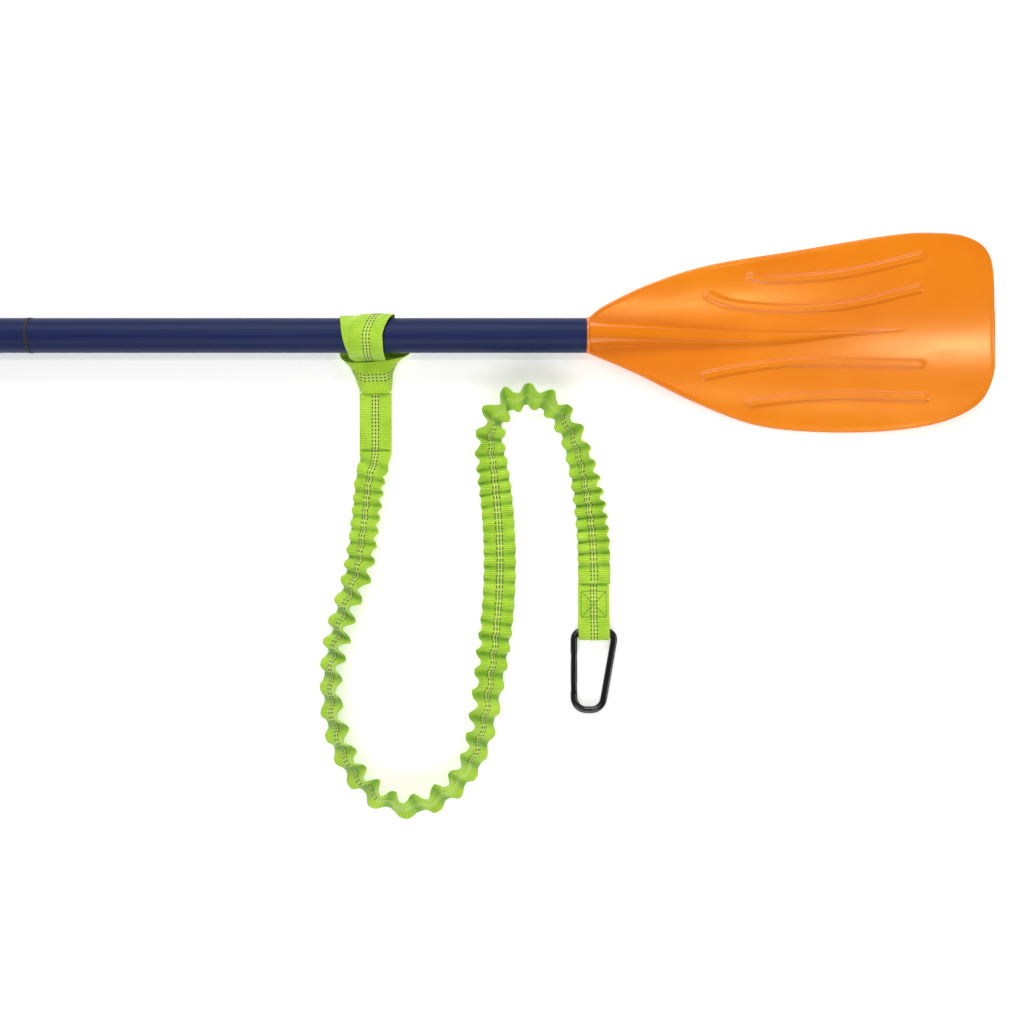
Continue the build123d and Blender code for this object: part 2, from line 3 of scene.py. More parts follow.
import bmesh
import bpy
import numpy as np
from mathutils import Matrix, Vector


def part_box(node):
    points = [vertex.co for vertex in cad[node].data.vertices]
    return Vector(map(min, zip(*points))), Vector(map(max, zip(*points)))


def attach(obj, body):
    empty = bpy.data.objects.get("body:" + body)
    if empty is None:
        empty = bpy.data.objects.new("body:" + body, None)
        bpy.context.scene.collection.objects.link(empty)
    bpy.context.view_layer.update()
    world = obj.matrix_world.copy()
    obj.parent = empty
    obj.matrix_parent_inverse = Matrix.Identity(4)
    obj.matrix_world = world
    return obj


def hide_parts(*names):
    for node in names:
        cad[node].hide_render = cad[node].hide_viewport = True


# Two-piece kayak paddle lying face up, with an elastic leash choked round its shaft and a
# snap hook on the leash's end. Shapes are worked out in millimetres in the CAD's own frame
# and turned to metres where they become meshes.

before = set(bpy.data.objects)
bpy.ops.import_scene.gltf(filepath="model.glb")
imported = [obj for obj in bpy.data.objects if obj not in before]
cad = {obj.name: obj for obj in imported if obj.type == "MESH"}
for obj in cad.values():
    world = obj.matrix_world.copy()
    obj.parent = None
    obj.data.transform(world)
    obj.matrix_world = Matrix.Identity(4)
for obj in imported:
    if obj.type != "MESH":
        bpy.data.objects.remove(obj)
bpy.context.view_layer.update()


# ------------------------------------------------------------ camera
# A plain 47 mm lens, straight above the leashed half at arm's length and a bit, with the
# centre joint just inside the frame on the left and the blade's tip on the right.
CAMERA_PLACE = (0.4159, -0.1526, 1.172)
LENS = 46.76

camera = bpy.data.objects.new("camera", bpy.data.cameras.new("camera"))
camera.location = CAMERA_PLACE
camera.data.lens = LENS
camera.data.sensor_width = 36.0
bpy.context.scene.collection.objects.link(camera)
bpy.context.scene.camera = camera


# ------------------------------------------------------------ table and light
# A board of matt opal laminate with a faint glow of its own, lit by large diffused panels,
# so that glossy plastic shows soft-edged highlights and the cloth hardly any shadow.
def to_linear(hex_colour):
    """RGBA for a shader from an sRGB hex colour."""
    channels = [int(hex_colour[i:i + 2], 16) / 255 for i in (1, 3, 5)]
    return [c / 12.92 if c <= 0.04045 else ((c + 0.055) / 1.055) ** 2.4 for c in channels] + [1.0]


def add_node(tree, kind, inputs, stops=(), **settings):
    """A node with its settings. Each input is a value, another node's output, or a node
    whose first output is meant. Stops are a colour ramp's (position, hex colour) pairs."""
    node = tree.nodes.new(kind)
    for name, value in settings.items():
        setattr(node, name, value)
    for socket, value in inputs.items():
        if isinstance(value, bpy.types.Node):
            value = value.outputs[0]
        if isinstance(value, bpy.types.NodeSocket):
            tree.links.new(value, node.inputs[socket])
        else:
            node.inputs[socket].default_value = value
    if stops:
        elements = node.color_ramp.elements
        while len(elements) < len(stops):
            elements.new(0.5)
        for element, (position, colour) in zip(elements, stops):
            element.position = position
            element.color = to_linear(colour)
    return node


def new_material(name, shader_inputs):
    """A material with one Principled shader, and its node tree for the pattern."""
    material = bpy.data.materials.new(name)
    material.use_nodes = True
    shader = material.node_tree.nodes["Principled BSDF"]
    for socket, value in shader_inputs.items():
        shader.inputs[socket].default_value = value
    return material, material.node_tree, shader


def laminate_white():
    """Matt opal laminate, faintly lit from within: even, with a barely seen cloudiness."""
    material, tree, shader = new_material("laminate_white", {
        "Roughness": 0.6, "IOR": 1.5,
        "Emission Color": to_linear("#FFFFFF"), "Emission Strength": 0.32,
    })
    place = add_node(tree, "ShaderNodeTexCoord", {}).outputs["Object"]
    cloud = add_node(tree, "ShaderNodeTexNoise", {"Vector": place, "Scale": 3.0})
    whites = [(0.3, "#FAFAFA"), (0.7, "#FDFDFD")]
    colour = add_node(tree, "ShaderNodeValToRGB", {"Fac": cloud}, whites)
    tree.links.new(colour.outputs["Color"], shader.inputs["Base Color"])
    return material


BOARD_HALF = 4.0
BOARD_Z = -0.0002         # a hair lower than what lies on it
board_corners = ((-1, -1), (1, -1), (1, 1), (-1, 1))
board_mesh = bpy.data.meshes.new("board")
board_mesh.from_pydata(
    [(x * BOARD_HALF, y * BOARD_HALF, BOARD_Z) for x, y in board_corners],
    [], [(0, 1, 2, 3)],
)
board_mesh.materials.append(laminate_white())
board = bpy.data.objects.new("board", board_mesh)
bpy.context.scene.collection.objects.link(board)

# name, place, point it faces, width and height of the panel, watts, colour; the small warm
# ones are there for their reflections in the blade
PANELS = [
    ("panel_front", (0.25, -1.9, 1.7), (0.42, -0.15, 0.0), (2.4, 1.0), 30.0, "#FFFFFF"),
    ("panel_back", (0.15, 1.9, 1.7), (0.42, -0.15, 0.0), (2.4, 1.0), 45.0, "#FFFFFF"),
    ("panel_side", (2.2, -0.4, 0.9), (0.45, -0.3, 0.0), (1.2, 0.3), 7.0, "#FFFFFF"),
    ("panel_shaft", (0.05, 0.2, 1.5), (0.05, 0.0, 0.0), (1.0, 0.09), 3.2, "#FFFFFF"),
    ("panel_tip", (0.895, 0.15, 1.5), (0.8, 0.0, 0.0), (0.075, 0.055), 0.65, "#FFE0A8"),
    ("panel_strip", (1.02, -0.09, 1.5), (0.6, -0.04, 0.0), (0.03, 0.3), 0.35, "#FFD488"),
    ("panel_spot", (1.06, 0.40, 1.5), (0.55, 0.03, 0.0), (0.06, 0.05), 0.4, "#FFD488"),
]
for name, place, target, (width, height), watts, colour in PANELS:
    lamp = bpy.data.lights.new(name, "AREA")
    lamp.shape = "RECTANGLE"
    lamp.size = width
    lamp.size_y = height
    lamp.energy = watts
    lamp.color = to_linear(colour)[:3]
    lamp_object = bpy.data.objects.new(name, lamp)
    lamp_object.location = place
    facing = Vector(place) - Vector(target)
    lamp_object.rotation_euler = facing.to_track_quat("Z", "Y").to_euler()
    bpy.context.scene.collection.objects.link(lamp_object)

world = bpy.data.worlds.new("room")
world.use_nodes = True
world.node_tree.nodes["Background"].inputs["Color"].default_value = to_linear("#F4F6FA")
world.node_tree.nodes["Background"].inputs["Strength"].default_value = 0.22
bpy.context.scene.world = world
bpy.context.scene.view_settings.view_transform = "Standard"


# ------------------------------------------------------------ blades
# Spooned blades injection-moulded in orange polypropylene, with a lengthwise spine that
# runs out from the round neck, and four stiffening ribs on the face. Each blade's spigot
# is pushed into its tube and riveted; a collar stops it at the tube's end.
MM = 0.001
NECK_X = round(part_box("shaft_tube_right")[1].x / MM)
SHAFT_Z = 22.0
BELLY_X = NECK_X + 180.0
SPOON_R = 1100.0
BLADE_T = 3.2
EDGE_BEAD = 0.2
CROWN = 3.0               # the plate's middle stands above its edges
CROWN_NECK = 3.5          # and more so towards the neck
CROWN_FADE = 160.0
CROWN_HALF = 90.0
RIB_TALL = 1.9
RIB_TOP_HALF = 2.3
RIB_FOOT_HALF = 4.3
# the heel, where the round neck runs out into the blade's back
HEEL_START = 4.5
HEEL_LONG = 76.0
HEEL_DEEP = 4.9
HEEL_HALF = 12.4
# the face is a fan of rays from a centre line out to each half of the outline; the last
# rings lie at these distances from the rim
RAYS = 200
RINGS = 96
CENTRE_END = 305.0
EDGE_STEPS = (2.4, 1.7, 1.2, 0.75, 0.35, 0.1, 0.0)

OUTLINE_UPPER = [(2.25, 15.7), (16.6, 26.6), (55.5, 46.0), (108.0, 63.6), (186.5, 77.4),
                 (264.0, 89.8), (301.5, 91.8), (333.5, 86.9), (351.6, 68.6), (354.6, 22.0),
                 (354.8, -6.0)]
OUTLINE_LOWER = [(2.25, -15.7), (42.5, -31.8), (94.9, -56.4), (147.3, -75.7), (199.5, -82.2),
                 (262.0, -81.9), (310.0, -74.5), (341.0, -59.0), (353.6, -35.0), (354.8, -6.0)]
RIBS = [
    [(146.0, 54.1), (160.0, 51.4), (199.0, 52.9), (238.0, 58.0), (293.0, 70.5)],
    [(108.0, 36.4), (126.0, 29.4), (160.0, 26.0), (199.0, 25.8), (238.0, 29.9), (291.0, 42.1)],
    [(105.0, -33.7), (126.0, -29.2), (160.0, -23.8), (199.0, -21.2), (292.0, -23.9)],
    [(144.5, -57.6), (173.0, -53.8), (199.0, -51.6), (238.0, -50.7), (296.0, -52.9)],
]
# along the blade from the neck: upper crease, lower crease and height of the spine
SPINE = [(2.0, 12.4, -12.4, 17.2), (4.3, 12.4, -9.6, 16.9), (55.0, 10.8, -8.0, 10.5),
         (107.0, 8.1, -7.6, 7.0), (147.0, 6.6, -7.2, 5.4), (186.0, 6.0, -4.0, 3.9),
         (211.5, 6.0, -0.7, 2.8), (237.0, 6.4, 2.0, 1.9), (278.0, 7.3, 5.6, 0.5)]
# spigot and collar: place from the neck and radius
SPIGOT = [(-52.0, 0.5), (-52.0, 12.0), (-51.0, 12.3), (0.0, 12.3), (0.0, 15.3), (0.2, 15.6),
          (0.5, 15.8), (2.3, 15.8), (2.7, 15.5), (2.9, 15.0), (3.2, 13.4), (4.5, 12.2), (6.0, 0.5)]


def smooth_line(points, steps):
    """Points along a smooth curve that passes through the given ones."""
    p = np.array(points, float)
    p = np.vstack([2 * p[0] - p[1], p, 2 * p[-1] - p[-2]])
    t = np.linspace(0, 1, steps, endpoint=False)[:, None]
    runs = []
    for a, b, c, d in zip(p, p[1:], p[2:], p[3:]):
        square = (2 * a - 5 * b + 4 * c - d) * t**2
        cube = (3 * b - a - 3 * c + d) * t**3
        runs.append((2 * b + (c - a) * t + square + cube) / 2)
    return np.vstack(runs + [p[-2:-1]])


def run_lengths(line):
    """Distance along a line of points to each of them."""
    steps = np.linalg.norm(np.diff(line, axis=0), axis=1)
    return np.concatenate([[0.0], np.cumsum(steps)])


def evenly(line, count):
    """The same line with evenly spaced points."""
    s = run_lengths(line)
    places = np.linspace(0, s[-1], count)
    return np.column_stack([np.interp(places, s, line[:, k]) for k in range(line.shape[1])])


def grid_faces(rows, columns, wrap=False):
    """Quads of a grid of points, row by row; wrap joins the last column to the first."""
    quads = []
    for i in range(rows - 1):
        this_row = i * columns
        next_row = this_row + columns
        for j in range(columns - (0 if wrap else 1)):
            k = (j + 1) % columns
            quads.append((this_row + j, this_row + k, next_row + k, next_row + j))
    return quads


def add_mesh(name, points, faces, material):
    """A smooth mesh object from points in millimetres."""
    mesh = bpy.data.meshes.new(name)
    mesh.from_pydata((np.asarray(points) * MM).tolist(), [], faces)
    mesh.polygons.foreach_set("use_smooth", [True] * len(mesh.polygons))
    mesh.materials.append(material)
    piece = bpy.data.objects.new(name, mesh)
    bpy.context.scene.collection.objects.link(piece)
    return piece


def distance_to(line, x, y):
    """Distance in plan from each point to a line of points."""
    nearest = np.full(x.shape, 1e9)
    for (ax, ay), (bx, by) in zip(line, line[1:]):
        run = (bx - ax) ** 2 + (by - ay) ** 2
        t = np.clip(((x - ax) * (bx - ax) + (y - ay) * (by - ay)) / run, 0, 1)
        nearest = np.minimum(nearest, np.hypot(x - ax - t * (bx - ax), y - ay - t * (by - ay)))
    return nearest


def ease(t):
    """From 0 to 1 with a gentle start and end."""
    t = np.clip(t, 0, 1)
    return t * t * (3 - 2 * t)


def polypropylene_orange():
    """Glossy moulded polypropylene: faint flow clouds, orange-peel gloss and a few scuffs."""
    material, tree, shader = new_material("polypropylene_orange", {"IOR": 1.49})
    place = add_node(tree, "ShaderNodeTexCoord", {}).outputs["Object"]
    cloud = add_node(tree, "ShaderNodeTexNoise", {"Vector": place, "Scale": 9.0, "Detail": 3.0})
    oranges = [(0.3, "#E67A05"), (0.55, "#EC8207"), (0.75, "#F28A0B")]
    colour = add_node(tree, "ShaderNodeValToRGB", {"Fac": cloud}, oranges)
    tree.links.new(colour.outputs["Color"], shader.inputs["Base Color"])
    # scuffs run lengthwise, some 0.7 mm wide and 20 mm long
    stretch = add_node(tree, "ShaderNodeMapping", {"Vector": place, "Scale": (50.0, 1500.0, 300.0)})
    scuff = add_node(tree, "ShaderNodeTexNoise", {"Vector": stretch, "Scale": 1.0})
    gloss = add_node(tree, "ShaderNodeMapRange", {
        "Value": scuff, "From Min": 0.45, "From Max": 0.8, "To Min": 0.13, "To Max": 0.22,
    })
    tree.links.new(gloss.outputs["Result"], shader.inputs["Roughness"])
    peel = add_node(tree, "ShaderNodeTexNoise", {"Vector": place, "Scale": 700.0, "Detail": 1.0})
    bump = add_node(tree, "ShaderNodeBump", {"Height": peel, "Strength": 0.08, "Distance": 0.0002})
    tree.links.new(bump.outputs["Normal"], shader.inputs["Normal"])
    return material


def spoon_z(x):
    """Height of the blade's middle surface."""
    return BLADE_T / 2 + SPOON_R - np.sqrt(SPOON_R**2 - (x - BELLY_X) ** 2)


def blade_points():
    """Points of the face and of the back: rays from the spine out to the rim."""
    upper = evenly(smooth_line(OUTLINE_UPPER, 24), RAYS)
    lower = evenly(smooth_line(OUTLINE_LOWER, 24), RAYS)
    spine = smooth_line(SPINE, 16)
    # the rays stand closer together towards the tip
    along = CENTRE_END * (1 - (1 - np.linspace(0, 1, RAYS)) ** 1.6)
    along = np.maximum(along, upper[0, 0])
    crest = np.interp(along, spine[:, 0], (spine[:, 1] + spine[:, 2]) / 2)
    centre = np.column_stack([along, crest])
    rim = np.vstack([upper, lower[-2::-1]])
    root = np.vstack([centre, centre[-2::-1]])
    reach = np.linalg.norm(rim - root, axis=1)[:, None]
    inner = (1 - EDGE_STEPS[0] / reach) * np.linspace(0, 1, RINGS)[None, :]
    outer = 1 - np.array(EDGE_STEPS[1:])[None, :] / reach
    share = np.hstack([inner, outer])
    edge = reach * (1 - share)
    x = root[:, :1] + (rim[:, :1] - root[:, :1]) * share
    y = root[:, 1:] + (rim[:, 1:] - root[:, 1:]) * share
    # half thickness, rounded off at the rim
    half = BLADE_T / 2 * np.sqrt(1 - (1 - np.clip(edge / (BLADE_T / 2), 0, 1)) ** 2)
    crown = CROWN + CROWN_NECK * np.exp(-((x / CROWN_FADE) ** 2))
    middle = spoon_z(x + NECK_X) + crown * (1 - (y / CROWN_HALF) ** 2).clip(0, 1)
    bead = EDGE_BEAD * ease(edge / 1.2) * ease((4.2 - edge) / 2.4)
    face = middle + half + bead
    for points in RIBS:
        off = distance_to(smooth_line(points, 8), x, y)
        face += RIB_TALL * ease((RIB_FOOT_HALF - off) / (RIB_FOOT_HALF - RIB_TOP_HALF))
    high, low, tall = (np.interp(x, spine[:, 0], spine[:, k], right=0) for k in (1, 2, 3))
    side = np.clip(np.abs(y - (high + low) / 2) / np.maximum((high - low) / 2, 0.3), 0, 1)
    face += tall * (1 - side**2.3) ** 0.75
    back = middle - half
    heel = np.clip(1 - (x - HEEL_START) / HEEL_LONG, 0, 1)
    back -= HEEL_DEEP * heel**1.5 * np.clip(1 - (np.abs(y) / HEEL_HALF) ** 2.2, 0, 1) ** 0.6
    face_points = np.stack([x + NECK_X, y, face], axis=-1)
    back_points = np.stack([x + NECK_X, y, back], axis=-1)
    return face_points, back_points


def turned(profile, steps=72):
    """Points and quads of a shape turned on the shaft's axis from (x, radius) pairs."""
    points = []
    for x, r in profile:
        for k in range(steps):
            a = 2 * math.pi * k / steps
            points.append((x, r * math.cos(a), SHAFT_Z + r * math.sin(a)))
    return points, grid_faces(len(profile), steps, wrap=True)


def weld_mesh(mesh):
    """Joins points that lie together and turns the faces outwards."""
    work = bmesh.new()
    work.from_mesh(mesh)
    bmesh.ops.remove_doubles(work, verts=work.verts, dist=0.00002)
    bmesh.ops.recalc_face_normals(work, faces=work.faces)
    work.to_mesh(mesh)
    work.free()


def make_blade(name, mirror, material):
    """One blade with its collar and spigot; mirror makes the left one."""
    face, back = blade_points()
    rays, rings = face.shape[:2]
    # the back is plain, so it takes every fourth ring and the last few at the rim
    keep = list(range(0, RINGS - 1, 4)) + list(range(RINGS - 1, rings))
    back = back[:, keep]
    points = np.vstack([face.reshape(-1, 3), back.reshape(-1, 3)])
    quads = grid_faces(rays, rings)
    start = rays * rings
    quads += [tuple(start + k for k in q[::-1]) for q in grid_faces(rays, len(keep))]
    spigot, spigot_quads = turned([(NECK_X + x, radius) for x, radius in SPIGOT])
    start = len(points)
    points = np.vstack([points, spigot])
    quads += [tuple(start + k for k in q[::-1]) for q in spigot_quads]
    if mirror:
        points[:, 0] *= -1
        quads = [q[::-1] for q in quads]
    piece = add_mesh(name, points, quads, material)
    weld_mesh(piece.data)
    return piece


orange = polypropylene_orange()
for side, mirror in (("right", False), ("left", True)):
    blade = make_blade(f"moulded_blade_{side}", mirror, orange)
    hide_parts(f"blade_{side}")
    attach(blade, f"{side}_half")


def finish_nodes(material, *names):
    """Gives CAD nodes a material."""
    for name in names:
        cad[name].data.materials.clear()
        cad[name].data.materials.append(material)


def pvc_skin_navy():
    """Extruded PVC: satin navy, with faint lengthwise draw lines about 1 mm apart."""
    material, tree, shader = new_material("pvc_skin_navy", {
        "IOR": 1.36, "Specular IOR Level": 0.35,
    })
    place = add_node(tree, "ShaderNodeTexCoord", {}).outputs["Object"]
    stretch = add_node(tree, "ShaderNodeMapping", {"Vector": place, "Scale": (12.0, 900.0, 900.0)})
    lines = add_node(tree, "ShaderNodeTexNoise", {"Vector": stretch, "Scale": 1.0, "Detail": 2.0})
    navies = [(0.3, "#101B48"), (0.55, "#132150"), (0.75, "#19295C")]
    colour = add_node(tree, "ShaderNodeValToRGB", {"Fac": lines}, navies)
    tree.links.new(colour.outputs["Color"], shader.inputs["Base Color"])
    gloss = add_node(tree, "ShaderNodeMapRange", {"Value": lines, "To Min": 0.38, "To Max": 0.55})
    tree.links.new(gloss.outputs["Result"], shader.inputs["Roughness"])
    bump = add_node(tree, "ShaderNodeBump", {"Height": lines, "Strength": 0.15, "Distance": 0.0002})
    tree.links.new(bump.outputs["Normal"], shader.inputs["Normal"])
    return material


def bare_metal(name, colour, roughness, grain, scale):
    """Bare metal with fine marks from how it was drawn or turned."""
    material, tree, shader = new_material(name, {"Metallic": 1.0, "Base Color": to_linear(colour)})
    place = add_node(tree, "ShaderNodeTexCoord", {}).outputs["Object"]
    stretch = add_node(tree, "ShaderNodeMapping", {"Vector": place, "Scale": scale})
    marks = add_node(tree, "ShaderNodeTexNoise", {"Vector": stretch, "Scale": grain, "Detail": 2.0})
    gloss = add_node(tree, "ShaderNodeMapRange", {
        "Value": marks, "To Min": roughness, "To Max": roughness + 0.14,
    })
    tree.links.new(gloss.outputs["Result"], shader.inputs["Roughness"])
    bump = add_node(tree, "ShaderNodeBump", {"Height": marks, "Strength": 0.1, "Distance": 0.0001})
    tree.links.new(bump.outputs["Normal"], shader.inputs["Normal"])
    return material


def soft_polymer(name, roughness, grain, dark, light, depth):
    """Rubber or foam: matt, with a fine pebbled or cellular surface."""
    material, tree, shader = new_material(name, {"IOR": 1.5, "Roughness": roughness})
    place = add_node(tree, "ShaderNodeTexCoord", {}).outputs["Object"]
    cells = add_node(tree, "ShaderNodeTexNoise", {"Vector": place, "Scale": grain, "Detail": 2.0})
    colour = add_node(tree, "ShaderNodeValToRGB", {"Fac": cells}, [(0.35, dark), (0.65, light)])
    tree.links.new(colour.outputs["Color"], shader.inputs["Base Color"])
    bump = add_node(tree, "ShaderNodeBump", {"Height": cells, "Strength": 0.4, "Distance": depth})
    tree.links.new(bump.outputs["Normal"], shader.inputs["Normal"])
    return material


drawn = bare_metal("drawn_aluminium", "#D6D8DB", 0.28, 1.0, (20.0, 1200.0, 1200.0))
stainless = bare_metal("stainless_steel", "#C4C2BE", 0.2, 900.0, (1.0, 1.0, 1.0))
finish_nodes(pvc_skin_navy(), "shaft_sleeve_right", "shaft_sleeve_left")
finish_nodes(drawn, "shaft_tube_right", "shaft_tube_left", "ferrule_tube")
finish_nodes(bare_metal("headed_aluminium", "#CFCFD2", 0.35, 800.0, (1.0, 1.0, 1.0)),
             "blade_rivet_right", "blade_rivet_left", "ferrule_rivet")
finish_nodes(stainless, "snap_button", "snap_spring")
finish_nodes(soft_polymer("rubber_black", 0.65, 1500.0, "#0E0E0F", "#1B1B1C", 0.0002), "joint_ring")
finish_nodes(soft_polymer("polyethylene_foam", 0.9, 1200.0, "#D9D9D4", "#EEEEEA", 0.0005),
             "float_plug_right", "float_plug_left")


# ------------------------------------------------------------ leash: gathered webbing
# One length of 28 mm tubular polyester webbing, woven lime with three dotted tracer rows.
# A rubber cord inside gathers it into ruffles; near the hitch it is left flat. It lies loose
# on the board, rolled more or less over on its side.
WEB_HALF = 14.0
STATION = 1.2
INNER_LEAN = 0.35         # the inner half stands steeper than the outer one
RIB_PITCH = 1.5           # across the webbing, one for each weft thread
WARP_PITCH = 0.9
TRACER_GAP = 2.7
TRACER_ROWS = (-TRACER_GAP, 0.0, TRACER_GAP)
DASH_PITCH = 3.2
TAIL_END = 48.5           # where the flat tail is sewn off and the ruffles begin
# along the leash: where the rubber cord's thickening starts and ends, and where the webbing
# comes down on the board and leaves it
GATHERED = (46, 62, 975, 990)
LAID_DOWN = (40, 75, 950, 985)
REST_REACH = 13           # stations to either side that share one resting height

# middle of the webbing from the collar to the end tab, control points of the curve
LEASH_ROUTE = [
    (296.4, -48.3, 6.7), (296.4, -73, 6.7), (296.4, -98, 6.7), (296.1, -108, 7), (291.5, -122, 8),
    (289, -150, 8), (285.5, -180, 8), (281.5, -208, 9), (272, -234, 10.5), (264.5, -262, 10.5),
    (259, -292, 10.5), (259.5, -326, 10.5), (268, -360, 10.5), (287, -391, 10.5), (318, -411, 10.5),
    (352, -403, 10.5), (378, -377, 10.5), (389.5, -342, 10.5), (395, -306, 10), (400.5, -268, 9),
    (404.5, -230, 8), (405.5, -190, 7.5), (403.5, -152, 7.5), (399.5, -118, 8), (395, -88, 9),
    (402, -62, 10.5), (425, -49, 10.5), (450, -55, 10.5), (467, -78, 10.5), (475.5, -104, 9),
    (482, -134, 8), (486, -164, 7.5), (487.8, -190, 7), (488, -216, 6.7),
]
# along the leash from the collar: length of a ruffle, its height at the edges, and how far
# the webbing is rolled over, in degrees
GATHERS = [
    (0, 30, 0, 0), (48, 24, 0.3, 0), (62, 14, 2.4, 18), (100, 11, 2.6, 26), (150, 13, 3, 32),
    (175, 17, 3.8, 44), (200, 20, 4.6, 50), (260, 21, 4.6, 52), (320, 20, 4.4, 46), (370, 21, 4.2, 48),
    (440, 22, 4.2, 48), (480, 21, 4.4, 46), (530, 18, 4.2, 34), (575, 14, 3.2, 18), (600, 12, 2.8, 7),
    (690, 11, 3, 7), (735, 13, 3.2, 30), (765, 17, 4.2, 50), (805, 18, 4.4, 56), (850, 17, 4.4, 54),
    (885, 13, 3.6, 42), (925, 12, 3.2, 28), (965, 11, 2.8, 8), (985, 14, 1, 0), (997, 20, 0, 0),
]
# round both turns the webbing lies over on its back and shows its plain reverse
REVERSE_SHOWN = [(368, 462), (762, 842)]


def polyester_webbing_lime():
    """Woven polyester: weft ribs 1.5 mm apart, pale tracer yarns down the middle, soft sheen, and painted
    shade that deepens the green in the ruffles' folds and between the threads.
    """
    material, tree, shader = new_material("polyester_webbing_lime", {
        "IOR": 1.5, "Roughness": 0.72, "Sheen Weight": 0.35, "Sheen Roughness": 0.45,
    })
    uv = add_node(tree, "ShaderNodeUVMap", {}, uv_map="weave")
    split = add_node(tree, "ShaderNodeSeparateXYZ", {"Vector": uv})
    across, along = split.outputs["X"], split.outputs["Y"]
    # the weave map is in centimetres, the pitches in millimetres
    turn = 2 * math.pi * 10
    rib_turns = add_node(tree, "ShaderNodeMath", {0: along, 1: turn / RIB_PITCH}, operation="MULTIPLY")
    rib = add_node(tree, "ShaderNodeMath", {0: rib_turns}, operation="SINE")
    warp_turns = add_node(tree, "ShaderNodeMath", {0: across, 1: turn / WARP_PITCH}, operation="MULTIPLY")
    warp = add_node(tree, "ShaderNodeMath", {0: warp_turns}, operation="SINE")
    low = add_node(tree, "ShaderNodeMath", {0: warp, 1: 0.12, 2: 0.5}, operation="MULTIPLY_ADD")
    height = add_node(tree, "ShaderNodeMath", {0: rib, 1: 0.38, 2: low}, operation="MULTIPLY_ADD")
    # the dye varies softly at random; on top of that the tops of the threads are painted paler and the
    # grooves between them darker, as painted shade
    place = add_node(tree, "ShaderNodeTexCoord", {}).outputs["Object"]
    dye = add_node(tree, "ShaderNodeTexNoise", {"Vector": place, "Scale": 70.0, "Detail": 3.0})
    dye_and_thread_shade = add_node(tree, "ShaderNodeMath", {0: dye, 1: height}, operation="ADD")
    tone = add_node(tree, "ShaderNodeMath", {0: dye_and_thread_shade, 1: 0.5}, operation="MULTIPLY")
    greens = [(0.2, "#7FAE14"), (0.42, "#A0D01E"), (0.6, "#B4E02C"), (0.85, "#D0F45C")]
    even = add_node(tree, "ShaderNodeValToRGB", {"Fac": tone}, greens)
    # painted shade: the cloth is coloured a deeper green down in the troughs of its ruffles
    fold_map = add_node(tree, "ShaderNodeUVMap", {}, uv_map="fold")
    fold = add_node(tree, "ShaderNodeSeparateXYZ", {"Vector": fold_map})
    painted_fold_shade = add_node(tree, "ShaderNodeMath", {0: fold, 1: 0.75}, operation="MULTIPLY")
    cloth_with_fold_shade = add_node(tree, "ShaderNodeMixRGB", {
        "Fac": painted_fold_shade, "Color1": even, "Color2": to_linear("#63A008"),
    })
    # pale yarns half way between the tracer rows
    band_turns = add_node(tree, "ShaderNodeMath", {0: across, 1: turn / TRACER_GAP}, operation="MULTIPLY")
    band = add_node(tree, "ShaderNodeMath", {0: band_turns}, operation="COSINE")
    between_rows = add_node(tree, "ShaderNodeMath", {0: band, 1: -0.35}, operation="LESS_THAN")
    off_middle = add_node(tree, "ShaderNodeMath", {0: across}, operation="ABSOLUTE")
    nearby = add_node(tree, "ShaderNodeMath", {0: off_middle, 1: TRACER_GAP / 10}, operation="LESS_THAN")
    yarn = add_node(tree, "ShaderNodeMath", {0: between_rows, 1: nearby}, operation="MULTIPLY")
    yarn_share = add_node(tree, "ShaderNodeMath", {0: yarn, 1: 0.4}, operation="MULTIPLY")
    colour = add_node(tree, "ShaderNodeMixRGB", {
        "Fac": yarn_share, "Color1": cloth_with_fold_shade, "Color2": to_linear("#E4EDA0"),
    })
    tree.links.new(colour.outputs["Color"], shader.inputs["Base Color"])
    bump = add_node(tree, "ShaderNodeBump", {"Height": height, "Strength": 0.55, "Distance": 0.0004})
    tree.links.new(bump.outputs["Normal"], shader.inputs["Normal"])
    return material


def spun_thread(name, dark, light):
    """Bonded polyester sewing thread, twisted and slightly waxed."""
    material, tree, shader = new_material(name, {"IOR": 1.5, "Roughness": 0.6, "Sheen Weight": 0.2})
    place = add_node(tree, "ShaderNodeTexCoord", {}).outputs["Object"]
    twist = add_node(tree, "ShaderNodeTexNoise", {"Vector": place, "Scale": 1300.0})
    colour = add_node(tree, "ShaderNodeValToRGB", {"Fac": twist}, [(0.35, dark), (0.65, light)])
    tree.links.new(colour.outputs["Color"], shader.inputs["Base Color"])
    bump = add_node(tree, "ShaderNodeBump", {"Height": twist, "Strength": 0.4, "Distance": 0.0002})
    tree.links.new(bump.outputs["Normal"], shader.inputs["Normal"])
    return material


def sheet_normals(middle):
    """Unit normals of a grid of points."""
    along = np.gradient(middle, axis=0)
    across = np.gradient(middle, axis=1)
    normal = np.cross(across, along)
    return normal / np.maximum(np.linalg.norm(normal, axis=2, keepdims=True), 1e-9)


def web_surface(middle, half, widths):
    """A strip of webbing: its middle, normals and half thickness, its places across and
    along the cloth, and how much painted shade it gets in the troughs of its ruffles."""
    quarter = len(widths) // 4
    return {
        "middle": middle, "normal": sheet_normals(middle), "half": half,
        "across": np.array(widths), "along": run_lengths(middle[:, quarter]),
        "fold": np.zeros(middle.shape[:2]),
    }


